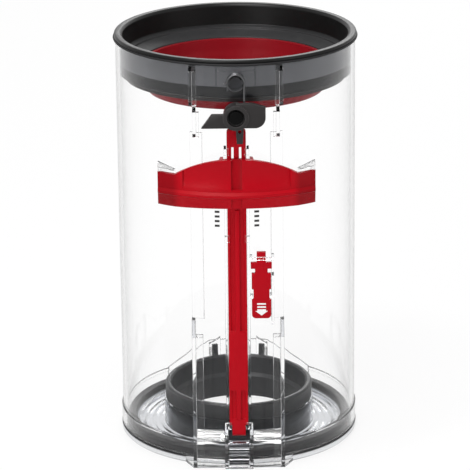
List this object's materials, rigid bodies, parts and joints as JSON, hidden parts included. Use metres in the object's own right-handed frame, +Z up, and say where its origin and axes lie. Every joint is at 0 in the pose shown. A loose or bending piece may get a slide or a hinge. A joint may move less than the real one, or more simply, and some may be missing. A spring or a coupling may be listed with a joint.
{
  "type": "vacuum dust bin",
  "caption": "Clear round vacuum dust bin with a dark mouth collar, red release lever and push rod on a front runner, and a hinged emptying door with an inlet sleeve.",
  "frame": {"origin": "centre of the inlet sleeve's bore, at the sleeve's lower end", "axes": "+Z up the tube to its mouth, -Y towards the runner with the release lever, +Y towards the door hinge"},
  "size_m": [0.1184, 0.1339, 0.203],
  "materials": {
    "clear": "clear polished plastic",
    "grey": "dark grey moulded plastic",
    "dark": "dark moulded plastic",
    "sleeve": "dark grey moulded plastic",
    "seal": "black rubber",
    "wiper": "red silicone",
    "red": "red semi-gloss plastic",
    "steel": "drawn steel"
  },
  "bodies": {
    "bin": {"bin_body": "clear", "mouth_collar": "grey", "mouth_seal": "seal", "shroud_wiper": "wiper", "wiper_retainer": "dark", "latch_screw": "steel", "latch_spring": "steel", "lever_spring": "steel", "hinge_pin": "steel", "catch_pin": "steel"},
    "release": {"push_rod": "red", "release_lever": "red"},
    "latch": {"latch_rocker": "dark"},
    "button": {"runner_button": "red"},
    "catch": {"door_catch": "clear"},
    "door": {"door_ring": "clear", "door_window": "clear", "door_seal": "seal", "inlet_sleeve": "sleeve", "door_spring": "steel"}
  },
  "joints": [
    {"name": "door_hinge", "type": "hinge", "parent": "bin", "child": "door", "pos_m": [0, 0.063, 0.0012], "axis": [1, 0, 0], "range_deg": [0, 95], "deforming": ["door_spring"]},
    {"name": "lever_slide", "type": "slide", "parent": "bin", "child": "release", "axis": [0, 0, -1], "range_m": [0, 0.009], "stiffness_N_per_m": 300, "springref_m": -0.003, "deforming": ["lever_spring"]},
    {"name": "latch_pivot", "type": "hinge", "parent": "bin", "child": "latch", "pos_m": [0, -0.064, 0.176], "axis": [0, -1, 0], "range_deg": [-10, 10], "stiffness_Nm_per_rad": 0.02, "deforming": ["latch_spring"]},
    {"name": "button_slide", "type": "slide", "parent": "bin", "child": "button", "axis": [0, 0, -1], "range_m": [0, 0.003], "stiffness_N_per_m": 200, "springref_m": -0.002},
    {"name": "catch_pivot", "type": "hinge", "parent": "bin", "child": "catch", "pos_m": [0, -0.0652, 0.0118], "axis": [-1, 0, 0], "range_deg": [0, 12]}
  ],
  "couplings": [
    {"joint": "catch_pivot", "follows": "lever_slide", "rad_per_m": 23.2}
  ]
}
